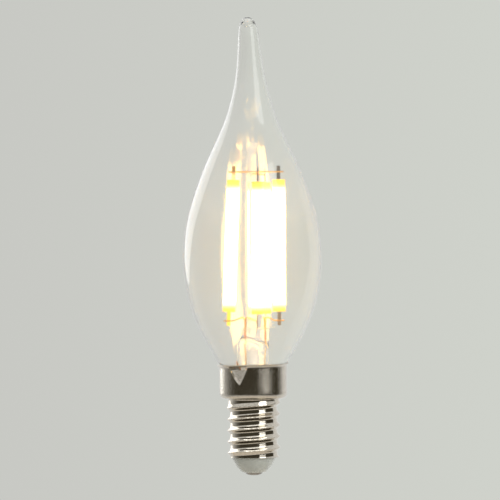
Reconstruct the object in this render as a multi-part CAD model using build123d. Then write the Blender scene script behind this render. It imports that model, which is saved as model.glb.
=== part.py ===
from build123d import *
from math import acos, asin, cos, pi, sin, sqrt
import os

# Candle bulb: clear glass with a drawn-out tail, four LED filaments and a small Edison screw cap.
# Millimetres. Z runs up the bulb's axis from the face of the centre contact.
# A viewer in front of the bulb looks along +Y and has +X on the right.

# Fits
fit_gap = 0.05          # between pieces that slide into each other
bond_gap = 0.02         # between the cement and what it holds
weld_sink = 0.04        # how far a welded wire beds into what it is welded to

# Centre contact
contact_dia = 4.6
contact_height = 1.0
contact_land_dia = 1.6
contact_recess = 0.3    # how deep the contact sits in the insulator
shank_dia = 1.8
shank_stand = 0.3       # how far the shank comes through the insulator

# Cap insulator
insulator_height = 3.6
insulator_tip_rim = 0.5
insulator_bulge = 0.5
insulator_edge_inset = 0.2
insulator_plug = 1.4

# Screw cap
sheet = 0.3
thread_dia = 13.6
thread_pitch = 2.822
thread_arc = 0.822      # radius of the crests and of the roots
thread_land = 0.03      # how far the crests are cut below full height, which leaves a narrow land
thread_exit_turns = 0.5
thread_lead_in = 0.62   # pitches that the groove starts below the edge
cap_height = 14.8       # from the lower edge to the shoulder of the collar
ring_band = 1.0         # plain band between the last groove and the shoulder
collar_dia = 17.1
collar_height = 7.8
shoulder_radius = 1.3
shoulder_neck_radius = 0.3
flare_height = 1.0
flare_reach = 0.55
flare_bend_radius = 0.6

# Clinch facet pressed into the collar beside the neutral wire
facet_angle = -28.2     # about Z, from the front
facet_width = 5.4
facet_height = 4.3
facet_apex_shift = 0.7
facet_top_depth = 0.62
facet_apex_depth = 0.2
facet_below_rim = 0.9

# Glass envelope, with heights above the rim of the cap
glass_height = 87.8
glass_dia = 35.1
glass_wall = 0.7
seat_gap = 0.2          # between the glass and the rim of the cap
seat_slope = 0.62       # how fast the glass widens as it leaves the cap
neck_drop = 1.0         # from the rim down to the straight neck
neck_length = 5.8
cement_thickness = 1.25
low_flank_height = 11.1
low_flank_dia = 29.1
belly_height = 27.0
high_flank_height = 41.5
high_flank_dia = 30.3
shoulder_height = 54.2
shoulder_dia = 20.2
tail_root_height = 65.6
tail_root_dia = 10.8
tail_mid_height = 76.0
tail_mid_dia = 6.6
tail_tip_dia = 4.9
tail_tip_slope = 0.1
tail_tip_roundness = 1.35
tail_bead = 2.7

# Cement ring
cement_below_rim = 2.2
cement_height = 4.6

# Stem, fused to the lower end of the neck
lip_height = 1.1
stem_tube_dia = 8.0
stem_wall = 0.6
trumpet_height = 5.5
tube_length = 4.6
press_blend = 1.8
press_height = 3.1
press_margin = 0.88     # glass beside each lead
press_thickness = 3.0
press_corner = 1.2
exhaust_dia = 3.0
exhaust_bore = 1.8
exhaust_below_lip = 3.6
exhaust_tip = 1.3
blow_hole_dia = 1.4
blow_hole_rise = 0.9    # from the top of the stem's bore to the middle of the blow hole

# Centre post
post_dia = 2.2
post_socket = 1.7
post_bead_dia = 3.0
post_height = 45.4      # from the top of the press to the middle of the bead

# Lead wires
lead_dia = 0.45
lead_clearance = 0.12   # from the exhaust tube on the left and from the stem's bore on the right
seal_dia = 0.5
seal_length = 1.9
seal_cover = 1.2        # glass above the seal wire
lead_bend_radius = 4.0
pad_inset = 0.2
pad_straight = 1.5

# Filaments
filament_length = 33.2
filament_rise = 4.0     # from the press to the foot of the side filaments
inner_pair_drop = 0.6   # the front and back filaments hang this much lower
coat_width = 3.2
coat_thickness = 2.9
coat_edge_radius = 0.8
strip_width = 1.6
strip_thickness = 0.5
tab_width = 0.9
tab_thickness = 0.26
tab_reach = 3.5
tab_lap = 1.2
# where each filament's axis stands at its foot and at its head
left_foot, left_head = (-6.0, 0.0), (-4.6, 0.0)
right_foot, right_head = (6.75, 0.0), (6.8, 0.0)
front_foot, front_head = (1.15, -5.8), (1.5, -5.6)
back_foot, back_head = (3.3, 5.0), (3.4, 4.9)

# Wires that carry the filaments
wire_dia = 0.34
head_wire_height = 2.0  # above the end of a filament
foot_wire_depth = 2.3   # below the end of a side filament
wire_overrun = 1.3      # past the tab
hump_height = 0.9
hump_half_width = 0.8
dip_height = 0.35
hump_radius = 0.28
wire_bend_radius = 0.9
tab_run = 1.2           # straight length beside a tab

# Driver in the cap
sleeve_wall = 0.35
sleeve_over_board = 1.2
board_thickness = 1.0
board_set_back = 1.0    # the middle of the board stands this far behind the axis
board_lift = 0.6
part_spacing = 0.3
rectifier_width, rectifier_depth, rectifier_height = 4.7, 2.5, 4.0
chip_width, chip_depth, chip_height = 3.9, 1.5, 4.9
capacitor_dia = 4.4
capacitor_length = 7.5
resistor_dia = 2.0
resistor_length = 4.0
live_wire_dia = 0.4
live_wire_lap = 1.4
neutral_wire_dia = 0.3
neutral_gap = 0.15      # between the wire and the neck
neutral_angle = -26.0   # about Z, from the front
neutral_reach = 0.8     # how far the wire stands over the rim
neutral_stand_off = 0.35
neutral_rise = 2.4
neutral_bend_radius = 0.4
neutral_pad_inset = 1.0

# Levels and radii that follow from the sizes above
cap_edge_z = contact_height + insulator_height
shoulder_z = cap_edge_z + cap_height
rim_z = shoulder_z + collar_height + flare_height
collar_r = collar_dia / 2
collar_bore_r = collar_r - sheet
thread_angle = asin(thread_pitch / 4 / thread_arc)
thread_root_r = thread_dia / 2 - 2 * thread_arc * (1 - cos(thread_angle))
plug_r = thread_root_r - sheet - fit_gap
plug_top_z = cap_edge_z + insulator_plug
seat_r = collar_r + flare_reach - sheet - seat_gap
neck_r = collar_bore_r - cement_thickness
neck_bore_r = neck_r - glass_wall
neck_top_z = rim_z - neck_drop
seal_z = neck_top_z - neck_length
stem_r = stem_tube_dia / 2
stem_bore_r = stem_r - stem_wall
tube_z = seal_z + lip_height + trumpet_height
blend_z = tube_z + tube_length
press_z = blend_z + press_blend
press_top_z = press_z + press_height
exhaust_r = exhaust_dia / 2
lead_r = lead_dia / 2
left_lead_x = -(exhaust_r + lead_clearance + lead_r)
right_lead_x = stem_bore_r - lead_clearance - lead_r
press_x = (left_lead_x + right_lead_x) / 2
press_width = right_lead_x - left_lead_x + lead_dia + 2 * press_margin
seal_top_z = press_top_z - seal_cover
seal_bottom_z = seal_top_z - seal_length
wire_r = wire_dia / 2
side_foot_z = press_top_z + filament_rise
inner_foot_z = side_foot_z - inner_pair_drop
cross_z = side_foot_z - foot_wire_depth
dip_z = cross_z + dip_height
hump_z = cross_z + hump_height
tab_side = tab_thickness / 2 + wire_r - weld_sink
sleeve_bore_r = plug_r - sleeve_wall
board_z = plug_top_z + board_lift
rectifier_z = board_z + part_spacing
chip_z = rectifier_z + rectifier_height + part_spacing
board_top_z = chip_z + chip_height + part_spacing
board_front_y = board_set_back - board_thickness / 2
board_back_y = board_set_back + board_thickness / 2
board_half_width = sqrt(sleeve_bore_r**2 - board_back_y**2) - fit_gap


# General shapes


def close_and_revolve(curves, *corners):
    # a turned solid from joined curves whose ends are closed through the given corners
    edge = Polyline(curves[-1] @ 1, *corners, curves[0] @ 0)
    return revolve(Plane.XZ * make_face([*curves, edge]), axis=Axis.Z)


def tube(outer_r, inner_r, z0, z1):
    ring = Circle(outer_r) - Circle(inner_r)
    return extrude(Pos(0, 0, z0) * ring, amount=z1 - z0)


def rod(dia, start, end):
    along = Vector(*end) - Vector(*start)
    return extrude(Plane(origin=start, z_dir=along) * Circle(dia / 2), amount=along.length)


def bent_wire(dia, points, radii):
    # straight runs joined by tangent arcs
    path = FilletPolyline(*points, radius=radii)
    disc = Plane(origin=path @ 0, z_dir=path % 0) * Circle(dia / 2)
    return sweep(disc, path=path)


def block(width, depth, height, x, front_y, z0):
    return Pos(x, front_y + depth / 2, z0 + height / 2) * Box(width, depth, height)


def turned_about_z(radius, angle, z):
    # the point at this radius and angle, where 0 is the front and -90 the left
    return radius * sin(angle * pi / 180), -radius * cos(angle * pi / 180), z


# Screw cap


def cap_blank(inset):
    # the cap before its thread is rolled, with its skin moved inwards by the inset
    body_r = thread_dia / 2 - thread_land - inset
    step = collar_r - inset - body_r
    line = FilletPolyline(
        (body_r, cap_edge_z),
        (body_r, shoulder_z + inset),
        (collar_r - inset, shoulder_z + inset),
        (collar_r - inset, rim_z - flare_height),
        (collar_r - inset + flare_reach, rim_z),
        radius=[
            min(shoulder_neck_radius + inset, step / 4),
            min(shoulder_radius - inset, step * 0.7),
            flare_bend_radius,
        ],
    )
    return close_and_revolve([line], (0, rim_z), (0, cap_edge_z))


def groove_section(inset):
    # one groove of the round thread: a root arc between two crest arcs, open outwards
    crest = thread_dia / 2 - inset
    land_angle = acos(1 - thread_land / thread_arc)

    def crest_arc(angle, side):
        return crest - thread_arc * (1 - cos(angle)), side * (thread_pitch / 2 - thread_arc * sin(angle))

    middle = (thread_angle + land_angle) / 2
    lip = [crest_arc(land_angle, side) for side in (-1, 1)]
    bend = [crest_arc(middle, side) for side in (-1, 1)]
    flank = [crest_arc(thread_angle, side) for side in (-1, 1)]
    clear = crest + thread_arc
    with BuildSketch(Plane.XZ) as sketch:
        with BuildLine():
            ThreePointArc(lip[0], bend[0], flank[0])
            ThreePointArc(flank[0], (thread_root_r - inset, 0), flank[1])
            ThreePointArc(flank[1], bend[1], lip[1])
            Polyline(lip[1], (clear, lip[1][1]), (clear, lip[0][1]), lip[0])
        make_face()
    return sketch.sketch


def groove_path():
    # a right-hand helix that leaves the metal over its last part of a turn
    turns = (cap_height - ring_band) / thread_pitch + thread_lead_in
    leave = thread_dia / 2 - thread_root_r + 5 * thread_land
    count = round(12 * turns)
    points = []
    for i in range(count + 1):
        turn = turns * i / count
        run_out = max(0.0, (turn - turns + thread_exit_turns) / thread_exit_turns)
        radius = thread_dia / 2 + leave * run_out**2
        angle = 2 * pi * turn
        height = cap_edge_z + thread_pitch * (turn - thread_lead_in)
        points.append((radius * cos(angle), radius * sin(angle), height))
    return Spline(points)


def facet_tool(inset):
    # what the clinch tool pushes in: a leaning plane inside a V, moved inwards by the inset
    top_z = rim_z - facet_below_rim
    apex_z = top_z - facet_height
    corners = [(-facet_width / 2, top_z), (facet_width / 2, top_z), (facet_apex_shift, apex_z)]
    vee = make_face(Polyline(*corners, close=True))
    if inset:
        vee = offset(vee, amount=inset, kind=Kind.INTERSECTION)
    prism = extrude(Plane.XZ * vee, amount=collar_r + flare_reach)
    lean = (facet_top_depth - facet_apex_depth) / facet_height
    low_y = -collar_r + facet_apex_depth - lean * facet_height + inset
    high_y = -collar_r + facet_top_depth + lean * facet_height + inset
    out_y = -collar_r - flare_reach
    low_z = apex_z - facet_height
    high_z = top_z + facet_height
    side = Polyline((low_y, low_z), (high_y, high_z), (out_y, high_z), (out_y, low_z), close=True)
    wedge = extrude(Plane.YZ * make_face(side), amount=facet_width, both=True)
    return Rot(0, 0, facet_angle) * (prism & wedge)


def cap_skin(inset):
    groove = sweep(groove_section(inset), path=groove_path(), is_frenet=True)
    return cap_blank(inset) - groove - facet_tool(inset)


def end_planes(solid):
    flat = solid.faces().filter_by(GeomType.PLANE).filter_by(Axis.Z).sort_by(Axis.Z)
    return flat[0], flat[-1]


def between_skins(outer, inner):
    # a thin solid from its outer and inner skins, closed by a ring at each end
    ends = [end_planes(outer), end_planes(inner)]
    rings = [Face(low.outer_wire(), [high.outer_wire()]) for low, high in zip(*ends)]
    sides = []
    for solid, flat in zip((outer, inner), ends):
        sides += [f for f in solid.faces() if not any(f.is_same(g) for g in flat)]
    return Solid(Shell(sides + rings))


def make_screw_cap():
    cap = between_skins(cap_skin(0), cap_skin(sheet))
    opening = block(
        facet_width,
        collar_r,
        facet_below_rim + flare_height,
        0,
        -1.5 * collar_r,
        rim_z - facet_below_rim,
    )
    return cap - Rot(0, 0, facet_angle) * opening


def make_insulator():
    tip_z = contact_height - contact_recess
    recess_r = contact_dia / 2 + fit_gap
    tip = Vector(recess_r + insulator_tip_rim, tip_z)
    edge = Vector(plug_r - insulator_edge_inset, cap_edge_z)
    chord = edge - tip
    outward = Vector(chord.Y, -chord.X).normalized()
    line = ThreePointArc(tip, (tip + edge) / 2 + outward * insulator_bulge, edge)
    step_z = cap_edge_z + insulator_edge_inset
    body = close_and_revolve([line], (plug_r, step_z), (plug_r, plug_top_z), (0, plug_top_z), (0, tip_z))
    recess = Pos(0, 0, tip_z) * Cylinder(recess_r, 2 * contact_recess)
    hole = Pos(0, 0, cap_edge_z) * Cylinder(shank_dia / 2 + fit_gap, 2 * plug_top_z)
    return body - recess - hole


def make_contact():
    land_r = contact_land_dia / 2
    contact_r = contact_dia / 2
    top_z = plug_top_z + shank_stand
    line = Spline((land_r, 0), (contact_r, contact_height), tangents=[(1, 0), (0.3, 1)])
    shank_r = shank_dia / 2
    return close_and_revolve([line], (shank_r, contact_height), (shank_r, top_z), (0, top_z), (0, 0))


# Glass


def glass_curves(inset, top_height):
    # the envelope's profile from the straight neck to the tip, with its radii less the inset
    def at(radius, height):
        return radius - inset, rim_z + height

    tip_r = tail_tip_dia / 2
    tip_height = top_height - tail_tip_roundness * (tip_r - inset)
    seat_way = (seat_slope, 1)
    tail_way = (-tail_tip_slope, 1)
    neck = Spline(at(neck_r, -neck_drop), at(seat_r, 0), tangents=[(0, 1), seat_way])
    flank = Spline(
        at(seat_r, 0),
        at(low_flank_dia / 2, low_flank_height),
        at(glass_dia / 2, belly_height),
        at(high_flank_dia / 2, high_flank_height),
        at(shoulder_dia / 2, shoulder_height),
        at(tail_root_dia / 2, tail_root_height),
        at(tail_mid_dia / 2, tail_mid_height),
        at(tip_r, tip_height),
        tangents=[seat_way, tail_way],
    )
    tip = Spline(at(tip_r, tip_height), (0, rim_z + top_height), tangents=[tail_way, (-1, 0)])
    return [neck, flank, tip]


def make_envelope():
    outer = close_and_revolve(glass_curves(0, glass_height), (0, seal_z), (neck_r, seal_z))
    inner_curves = glass_curves(glass_wall, glass_height - tail_bead)
    return outer - close_and_revolve(inner_curves, (0, seal_z), (neck_bore_r, seal_z))


def trumpet_curves(lip_r, tube_r):
    lip_z = seal_z + lip_height
    lip = Line((lip_r, seal_z), (lip_r, lip_z))
    return [lip, Spline((lip_r, lip_z), (tube_r, tube_z), tangents=[(-0.6, 1), (0, 1)])]


def make_stem():
    axis_ends = ((0, blend_z), (0, seal_z))
    outer = close_and_revolve(trumpet_curves(neck_bore_r, stem_r), (stem_r, blend_z), *axis_ends)
    bore_curves = trumpet_curves(neck_bore_r - stem_wall, stem_bore_r)
    bore = close_and_revolve(bore_curves, (stem_bore_r, blend_z), *axis_ends)
    corner = min(press_corner, press_thickness * 0.45)
    flat = Pos(press_x, 0) * RectangleRounded(press_width, press_thickness, corner)
    blend = loft([Pos(0, 0, blend_z) * Circle(stem_r), Pos(0, 0, press_z) * flat])
    press = extrude(Pos(0, 0, press_z) * flat, amount=press_height)
    press = fillet(press.edges().group_by(Axis.Z)[-1], press_corner / 3)
    hole_z = blend_z + blow_hole_rise
    duct = rod(exhaust_bore, (0, 0, blend_z), (0, 0, hole_z))
    blow_hole = rod(blow_hole_dia, (0, 0, hole_z), (0, -stem_r, hole_z))
    return outer + blend + press - bore - duct - blow_hole


def make_exhaust_tube():
    bottom_z = seal_z - exhaust_below_lip
    body = rod(exhaust_dia, (0, 0, bottom_z), (0, 0, blend_z))
    body = fillet(body.edges().group_by(Axis.Z)[0], exhaust_r * 0.8)
    return body - rod(exhaust_bore, (0, 0, bottom_z + exhaust_tip), (0, 0, blend_z))


def make_post():
    bead_z = press_top_z + post_height
    post = rod(post_dia, (0, 0, press_top_z - post_socket), (0, 0, bead_z))
    return post + Pos(0, 0, bead_z) * Sphere(post_bead_dia / 2)


def make_cement():
    top_z = rim_z - cement_below_rim
    ring = tube(collar_bore_r - bond_gap, neck_r + bond_gap, top_z - cement_height, top_z)
    return ring - facet_tool(sheet)


# Filaments


class Filament:
    # one filament with its axis from foot to head; the tabs lie flat along the radial direction
    def __init__(self, name, foot, head, foot_z, radial):
        self.name = name
        self.foot = Vector(foot[0], foot[1], foot_z)
        self.along = Vector(head[0] - foot[0], head[1] - foot[1], filament_length).normalized()
        self.frame = Plane(origin=self.foot, x_dir=radial, z_dir=self.along)

    def axis_at(self, z):
        return self.foot + self.along * ((z - self.foot.Z) / self.along.Z)

    @property
    def head_z(self):
        return self.foot.Z + self.along.Z * filament_length

    def bar(self, section, start, end):
        return extrude(self.frame.offset(start) * section, amount=end - start)

    def make_parts(self):
        tab = Rectangle(tab_width, tab_thickness)
        foot_tab = self.bar(tab, -tab_reach, tab_lap)
        head_tab = self.bar(tab, filament_length - tab_lap, filament_length + tab_reach)
        strip = self.bar(Rectangle(strip_width, strip_thickness), tab_lap, filament_length - tab_lap)
        corner = min(coat_edge_radius, coat_thickness * 0.45)
        coat = self.bar(RectangleRounded(coat_width, coat_thickness, corner), 0, filament_length)
        return {
            "coat": coat - strip - foot_tab - head_tab,
            "substrate": strip,
            "foot_tab": foot_tab,
            "head_tab": head_tab,
        }


def make_filaments():
    return {
        "left": Filament("left", left_foot, left_head, side_foot_z, (1, 0, 0)),
        "right": Filament("right", right_foot, right_head, side_foot_z, (1, 0, 0)),
        "front": Filament("front", front_foot, front_head, inner_foot_z, (0, 1, 0)),
        "back": Filament("back", back_foot, back_head, inner_foot_z, (0, 1, 0)),
    }


# Wires


def make_cross_wire(side, inner, lead_x):
    # from beside the side tab, over the top of the lead, to beside the inner tab
    side_tab = side.axis_at(cross_z)
    inner_tab = inner.axis_at(cross_z)
    away = 1 if side_tab.X > lead_x else -1
    to_back = 1 if inner_tab.Y > 0 else -1
    inner_x = inner_tab.X - tab_side
    points = [
        (side_tab.X + away * wire_overrun, side_tab.Y - tab_side, cross_z),
        (side_tab.X - away * tab_run, side_tab.Y - tab_side, cross_z),
        (lead_x + away * hump_half_width, 0, hump_z),
        (lead_x, 0, dip_z),
        (lead_x - away * hump_half_width / 2, to_back * hump_half_width, hump_z),
        (inner_x, inner_tab.Y - to_back * tab_run, cross_z),
        (inner_x, inner_tab.Y + to_back * wire_overrun, cross_z),
    ]
    radii = [wire_bend_radius, hump_radius, hump_radius, hump_radius, wire_bend_radius]
    return bent_wire(wire_dia, points, radii)


def make_side_bridge(left, right):
    z = left.head_z + head_wire_height
    start = left.axis_at(z)
    end = right.axis_at(z)
    return rod(
        wire_dia,
        (start.X - wire_overrun, start.Y - tab_side, z),
        (end.X + wire_overrun, end.Y - tab_side, z),
    )


def make_front_bridge(front, back):
    # bent at the post so that it lies flat beside both tabs
    z = front.head_z + head_wire_height
    near = front.axis_at(z)
    far = back.axis_at(z)
    points = [
        (near.X - tab_side, near.Y - wire_overrun, z),
        (near.X - tab_side, near.Y + tab_run, z),
        (0, 0, z),
        (far.X - tab_side, far.Y - tab_run, z),
        (far.X - tab_side, far.Y + wire_overrun, z),
    ]
    return bent_wire(wire_dia, points, wire_bend_radius)


def make_inner_lead(x):
    return rod(lead_dia, (x, 0, seal_top_z), (x, 0, dip_z))


def make_outer_lead(x):
    # from the seal down to the top edge of the board
    toward_axis = -1 if x > 0 else 1
    pad_x = x + toward_axis * pad_inset
    points = [
        (x, 0, seal_bottom_z),
        (x, 0, blend_z - pad_straight),
        (pad_x, board_set_back, board_top_z + pad_straight),
        (pad_x, board_set_back, board_top_z),
    ]
    return bent_wire(lead_dia, points, lead_bend_radius)


def make_live_wire():
    y = board_front_y - live_wire_dia / 2 + weld_sink
    return rod(live_wire_dia, (0, y, plug_top_z + shank_stand), (0, y, board_z + live_wire_lap))


def make_neutral_wire():
    # from the board up beside the neck and out over the facet
    run_r = neck_r + neutral_wire_dia / 2 + neutral_gap
    out_r = seat_r + neutral_stand_off
    pad = (neutral_pad_inset - board_half_width, board_set_back)
    points = [
        (*pad, board_top_z),
        (*pad, board_top_z + neutral_rise),
        turned_about_z(run_r, neutral_angle, shoulder_z + shoulder_radius),
        turned_about_z(run_r, neutral_angle, neck_top_z + fit_gap),
        turned_about_z(out_r, neutral_angle, rim_z - fit_gap),
        turned_about_z(out_r + neutral_reach / 2, neutral_angle, rim_z + neutral_reach),
    ]
    return bent_wire(neutral_wire_dia, points, neutral_bend_radius)


# Driver


def beside_board(dia):
    # the middle of an upright can that stands against the board and the sleeve
    y = board_front_y - fit_gap - dia / 2
    reach = sleeve_bore_r - fit_gap - dia / 2
    return sqrt(reach**2 - y**2), y


def make_driver():
    board = block(2 * board_half_width, board_thickness, board_top_z - board_z, 0, board_front_y, board_z)
    can_x, can_y = beside_board(capacitor_dia)
    capacitor = rod(capacitor_dia, (-can_x, can_y, board_z), (-can_x, can_y, board_z + capacitor_length))
    capacitor = fillet(capacitor.edges().filter_by(GeomType.CIRCLE), capacitor_dia / 16)
    body_x, body_y = beside_board(resistor_dia)
    resistor_z = board_top_z - resistor_length
    resistor = rod(resistor_dia, (body_x, body_y, resistor_z), (body_x, body_y, board_top_z))
    resistor = fillet(resistor.edges().filter_by(GeomType.CIRCLE), resistor_dia / 5)
    sleeve_top_z = board_top_z + sleeve_over_board
    return {
        "driver_board": board,
        "bridge_rectifier": block(
            rectifier_width, rectifier_depth, rectifier_height, 0, board_back_y, rectifier_z
        ),
        "driver_chip": block(chip_width, chip_depth, chip_height, 0, board_back_y, chip_z),
        "smoothing_capacitor": capacitor,
        "fuse_resistor": resistor,
        "driver_sleeve": tube(plug_r, sleeve_bore_r, plug_top_z, sleeve_top_z),
    }


def make_all():
    filaments = make_filaments()
    left_wire = make_cross_wire(filaments["left"], filaments["front"], left_lead_x)
    right_wire = make_cross_wire(filaments["right"], filaments["back"], right_lead_x)
    side_bridge = make_side_bridge(filaments["left"], filaments["right"])
    front_bridge = make_front_bridge(filaments["front"], filaments["back"])
    neutral = make_neutral_wire()
    live = make_live_wire()
    stem = make_stem()
    post = make_post()
    pieces = {
        "glass_envelope": make_envelope(),
        "exhaust_tube": make_exhaust_tube(),
        "cross_wire_left": left_wire,
        "cross_wire_right": right_wire,
        "side_bridge_wire": side_bridge,
        "front_bridge_wire": front_bridge,
        "live_wire": live,
        "neutral_wire": neutral,
        "screw_shell": make_screw_cap(),
        "cap_insulator": make_insulator(),
        "centre_contact": make_contact(),
        "cap_cement": make_cement() - neutral,
    }
    for side, x, wire in (("left", left_lead_x, left_wire), ("right", right_lead_x, right_wire)):
        inner = make_inner_lead(x) - wire
        outer = make_outer_lead(x)
        seal = rod(seal_dia, (x, 0, seal_bottom_z), (x, 0, seal_top_z))
        pieces["inner_lead_" + side] = inner
        pieces["outer_lead_" + side] = outer
        pieces["dumet_seal_" + side] = seal
        stem = stem - inner - outer - seal
    pieces["stem_flare"] = stem - post
    pieces["centre_post"] = post - side_bridge - front_bridge
    carriers = {
        "left": (left_wire, side_bridge),
        "right": (right_wire, side_bridge),
        "front": (left_wire, front_bridge),
        "back": (right_wire, front_bridge),
    }
    for name, filament in filaments.items():
        foot_wire, head_wire = carriers[name]
        parts = filament.make_parts()
        parts["foot_tab"] = parts["foot_tab"] - foot_wire
        parts["head_tab"] = parts["head_tab"] - head_wire
        for part, solid in parts.items():
            pieces["filament_" + name + "_" + part] = solid
    pieces.update(make_driver())
    pieces["driver_board"] = pieces["driver_board"] - live
    return pieces


os.makedirs("parts", exist_ok=True)
for node, shape in make_all().items():
    export_step(shape, "parts/" + node + ".step")
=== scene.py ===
import bpy
import math
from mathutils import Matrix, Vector


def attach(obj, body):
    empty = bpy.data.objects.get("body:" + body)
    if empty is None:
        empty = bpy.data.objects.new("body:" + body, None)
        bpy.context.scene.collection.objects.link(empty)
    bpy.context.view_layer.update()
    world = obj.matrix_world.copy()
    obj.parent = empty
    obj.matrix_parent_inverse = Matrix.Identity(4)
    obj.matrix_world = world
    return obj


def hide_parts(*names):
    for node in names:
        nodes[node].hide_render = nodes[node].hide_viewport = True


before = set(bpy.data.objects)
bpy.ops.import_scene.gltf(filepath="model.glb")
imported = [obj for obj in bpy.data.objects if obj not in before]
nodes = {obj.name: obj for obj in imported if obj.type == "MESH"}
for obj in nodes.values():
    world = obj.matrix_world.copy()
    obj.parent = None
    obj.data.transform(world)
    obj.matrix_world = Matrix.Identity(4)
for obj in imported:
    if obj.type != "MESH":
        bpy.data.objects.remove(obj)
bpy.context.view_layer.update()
mm = 0.001
weldGap = 0.00001
print("frame loaded:", len(nodes), "nodes")


# mesh helpers

def pick(obj):
    # only this object selected and active
    bpy.ops.object.select_all(action="DESELECT")
    obj.select_set(True)
    bpy.context.view_layer.objects.active = obj


def applyAll(obj):
    pick(obj)
    for modifier in list(obj.modifiers):
        bpy.ops.object.modifier_apply(modifier=modifier.name)


def closeUp(obj, distance=weldGap):
    # seams and poles merged, faces outwards
    pick(obj)
    bpy.ops.object.mode_set(mode="EDIT")
    bpy.ops.mesh.select_all(action="SELECT")
    bpy.ops.mesh.remove_doubles(threshold=distance)
    bpy.ops.mesh.normals_make_consistent(inside=False)
    bpy.ops.object.mode_set(mode="OBJECT")


def dropSelection(kind):
    # nothing selected in the active mesh, ready to choose vertices or faces
    bpy.ops.object.mode_set(mode="EDIT")
    bpy.ops.mesh.select_mode(type=kind)
    bpy.ops.mesh.select_all(action="DESELECT")
    bpy.ops.object.mode_set(mode="OBJECT")


def newCurve(name):
    bpy.ops.object.select_all(action="DESELECT")
    bpy.ops.curve.primitive_bezier_curve_add(location=(0, 0, 0))
    obj = bpy.context.active_object
    obj.name = name
    obj.data.splines.clear()
    return obj


def curveToMesh(obj):
    pick(obj)
    bpy.ops.object.convert(target="MESH")
    return bpy.context.active_object


def drawCurve(name, splines, resolution):
    # splines: lists of (r, z) in mm, each with an optional "v" for a sharp corner
    obj = newCurve(name)
    obj.data.resolution_u = resolution
    for points in splines:
        spline = obj.data.splines.new("BEZIER")
        spline.bezier_points.add(len(points) - 1)
        for bez, point in zip(spline.bezier_points, points):
            bez.co = (point[0] * mm, 0, point[1] * mm)
            kind = "VECTOR" if len(point) > 2 else "AUTO"
            bez.handle_left_type = kind
            bez.handle_right_type = kind
    return curveToMesh(obj)


def drawSteps(name, points):
    # a closed loop of short straight steps through (r, z) in mm
    obj = newCurve(name)
    spline = obj.data.splines.new("POLY")
    spline.points.add(len(points) - 1)
    for point, (r, z) in zip(spline.points, points):
        point.co = (r * mm, 0, z * mm, 1)
    spline.use_cyclic_u = True
    return curveToMesh(obj)


def turnOnLathe(obj, steps):
    lathe = obj.modifiers.new("lathe", "SCREW")
    lathe.axis = "Z"
    lathe.angle = 2 * math.pi
    lathe.steps = steps
    lathe.render_steps = steps
    lathe.use_merge_vertices = True
    lathe.merge_threshold = weldGap
    applyAll(obj)
    closeUp(obj)
    pick(obj)
    bpy.ops.object.shade_smooth()


def turnPiece(name, piece):
    obj = drawCurve(name, [piece["outline"]], piece["resolution"])
    turnOnLathe(obj, piece["steps"])
    return obj


def smoothEdges(obj, degrees=40):
    pick(obj)
    bpy.ops.object.shade_smooth_by_angle(angle=math.radians(degrees))


def moveVerts(obj, rule):
    # rule takes x, y, z in mm and gives the new place in mm
    for vert in obj.data.vertices:
        x, y, z = rule(vert.co.x / mm, vert.co.y / mm, vert.co.z / mm)
        vert.co = (x * mm, y * mm, z * mm)
    obj.data.update()


def turnBy(x, y, angle):
    c = math.cos(angle)
    s = math.sin(angle)
    return x * c - y * s, x * s + y * c


def ease(t):
    t = min(1.0, max(0.0, t))
    return t * t * (3 - 2 * t)


def dress(obj, material):
    obj.data.materials.clear()
    obj.data.materials.append(material)


def handIn(obj, slot, material, *replaced):
    dress(obj, material)
    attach(obj, "root")
    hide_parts(*replaced)


# node helpers

def newMaterial(name):
    material = bpy.data.materials.new(name)
    material.use_nodes = True
    return material, material.node_tree, material.node_tree.nodes["Principled BSDF"]


def addNode(tree, kind, **values):
    node = tree.nodes.new(kind)
    for key, value in values.items():
        setattr(node, key, value)
    return node


def setInputs(node, values):
    for label, value in values.items():
        node.inputs[label].default_value = value


def join(tree, source, target):
    tree.links.new(source, target)


def spread(tree, source, low, high, outLow, outHigh):
    # low to high in the source comes out as outLow to outHigh
    node = addNode(tree, "ShaderNodeMapRange")
    setInputs(node, {"From Min": low, "From Max": high, "To Min": outLow, "To Max": outHigh})
    join(tree, source, node.inputs["Value"])
    return node.outputs["Result"]


def combine(tree, operation, first, second):
    # the second is an output of a node or a plain number
    node = addNode(tree, "ShaderNodeMath", operation=operation)
    join(tree, first, node.inputs[0])
    if isinstance(second, float):
        node.inputs[1].default_value = second
    else:
        join(tree, second, node.inputs[1])
    return node.outputs["Value"]


def mixValues(tree, share, first, second):
    mix = addNode(tree, "ShaderNodeMix", data_type="FLOAT")
    join(tree, share, mix.inputs["Factor"])
    join(tree, first, mix.inputs["A"])
    join(tree, second, mix.inputs["B"])
    return mix.outputs["Result"]


def mixColours(tree, share, first, second):
    mix = addNode(tree, "ShaderNodeMix", data_type="RGBA")
    mix.inputs["A"].default_value = (*first, 1)
    mix.inputs["B"].default_value = (*second, 1)
    join(tree, share, mix.inputs["Factor"])
    return mix.outputs["Result"]


def mixShaders(tree, share, first, second, target):
    mix = addNode(tree, "ShaderNodeMixShader")
    join(tree, share, mix.inputs["Fac"])
    join(tree, first, mix.inputs[1])
    join(tree, second, mix.inputs[2])
    join(tree, mix.outputs["Shader"], target)


def makeGroup(name, inputs, result):
    # a tuple becomes a vector input and a number a plain one, and the result is a plain value
    group = bpy.data.node_groups.new(name, "ShaderNodeTree")
    for label, value in inputs.items():
        kind = "NodeSocketVector" if isinstance(value, tuple) else "NodeSocketFloat"
        socket = group.interface.new_socket(name=label, in_out="INPUT", socket_type=kind)
        socket.default_value = value
    group.interface.new_socket(name=result, in_out="OUTPUT", socket_type="NodeSocketFloat")
    return group, addNode(group, "NodeGroupInput"), addNode(group, "NodeGroupOutput")


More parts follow.
